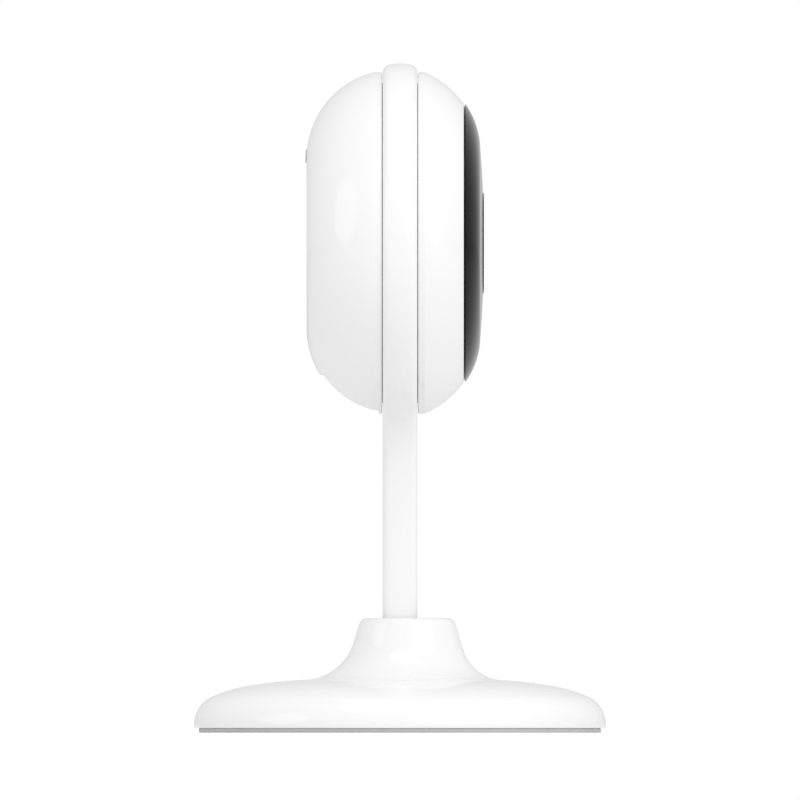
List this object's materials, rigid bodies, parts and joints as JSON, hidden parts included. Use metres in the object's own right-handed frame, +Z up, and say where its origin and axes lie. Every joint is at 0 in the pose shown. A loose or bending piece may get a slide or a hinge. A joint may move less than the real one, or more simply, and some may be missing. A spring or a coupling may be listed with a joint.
{
  "type": "security camera",
  "caption": "Desk security camera: a round white head with a dark glossy front cover, held in a ring on a flat stem that tilts on a low round weighted foot.",
  "frame": {"origin": "centre of the foot's underside, on the surface it stands on", "axes": "+Z up through the foot and the upright stem; the camera looks along -Y; +X is to the right of someone who faces the same way as +Y, that is, who looks at the camera's front"},
  "size_m": [0.0712, 0.0711, 0.1155],
  "materials": {
    "white_gloss": "gloss moulded",
    "black_gloss": "polished, passes infra-red",
    "button_grey": "satin moulded",
    "plate_grey": "fine texture",
    "black_plastic": "matt moulded",
    "pad_rubber": "matt grey",
    "black_rubber": "matt",
    "clear_glass": "polished",
    "filter_glass": "coated",
    "bright_steel": "zinc plated",
    "weight_steel": "machined",
    "magnet_steel": "nickel plated",
    "copper_wire": "enamelled copper",
    "aluminium_sheet": "rolled",
    "board_green": "solder mask",
    "board_black": "solder mask",
    "led_clear": "clear resin",
    "cable_white": "satin film",
    "tape_black": "foam tape",
    "thermal_grey": "soft pad",
    "cone_film": "thin film"
  },
  "bodies": {
    "base": {"base_cover": "white_gloss", "base_foot_pad": "pad_rubber", "base_bottom_plate": "plate_grey", "base_screws": "bright_steel", "base_weight": "weight_steel", "hinge_bracket": "bright_steel", "hinge_bracket_screws": "bright_steel", "hinge_pin": "bright_steel", "hinge_nut": "bright_steel", "hinge_washers": "bright_steel"},
    "stand": {"ring_stand": "white_gloss"},
    "head": {"front_shell": "white_gloss", "rear_shell": "white_gloss", "head_screws": "bright_steel", "board_screws": "bright_steel", "friction_band": "black_rubber", "front_cover": "black_gloss", "cover_tape": "tape_black", "lens_window": "clear_glass", "lens_barrel": "black_plastic", "lens_glasses": "clear_glass", "light_shroud": "black_rubber", "lens_holder": "black_plastic", "filter_case": "black_plastic", "filter_coil": "copper_wire", "sensor_board": "board_green", "image_sensor": "clear_glass", "main_board": "board_green", "board_connector": "cable_white", "led_board": "board_black", "infrared_leds": "led_clear", "led_cable": "cable_white", "light_sensor": "led_clear", "status_led": "led_clear", "light_pipe": "led_clear", "microphone": "aluminium_sheet", "microphone_boot": "black_rubber", "processor": "black_plastic", "thermal_pad": "thermal_grey", "heat_spreader": "aluminium_sheet", "wireless_shield": "bright_steel", "wireless_antenna": "board_green", "speaker_frame": "black_plastic", "speaker_cone": "cone_film", "speaker_magnet": "magnet_steel", "speaker_gasket": "black_rubber", "power_inlet": "bright_steel", "tact_switch": "black_plastic"},
    "ir_filter": {"filter_frame": "black_plastic", "filter_panes": "filter_glass"},
    "button": {"pair_button": "button_grey", "switch_plunger": "black_plastic"}
  },
  "joints": [
    {"name": "stand_tilt", "type": "hinge", "parent": "base", "child": "stand", "pos_m": [0, 0, 0.0144], "axis": [1, 0, 0], "range_deg": [-12, 25]},
    {"name": "head_roll", "type": "hinge", "parent": "stand", "child": "head", "pos_m": [0, 0, 0.0845], "axis": [0, 1, 0], "continuous": true},
    {"name": "ir_filter_slide", "type": "slide", "parent": "head", "child": "ir_filter", "axis": [1, 0, 0], "range_m": [0, 0.0062]},
    {"name": "pair_button_press", "type": "slide", "parent": "head", "child": "button", "axis": [0, -1, 0], "range_m": [0, 0.0005], "stiffness_N_per_m": 600}
  ]
}
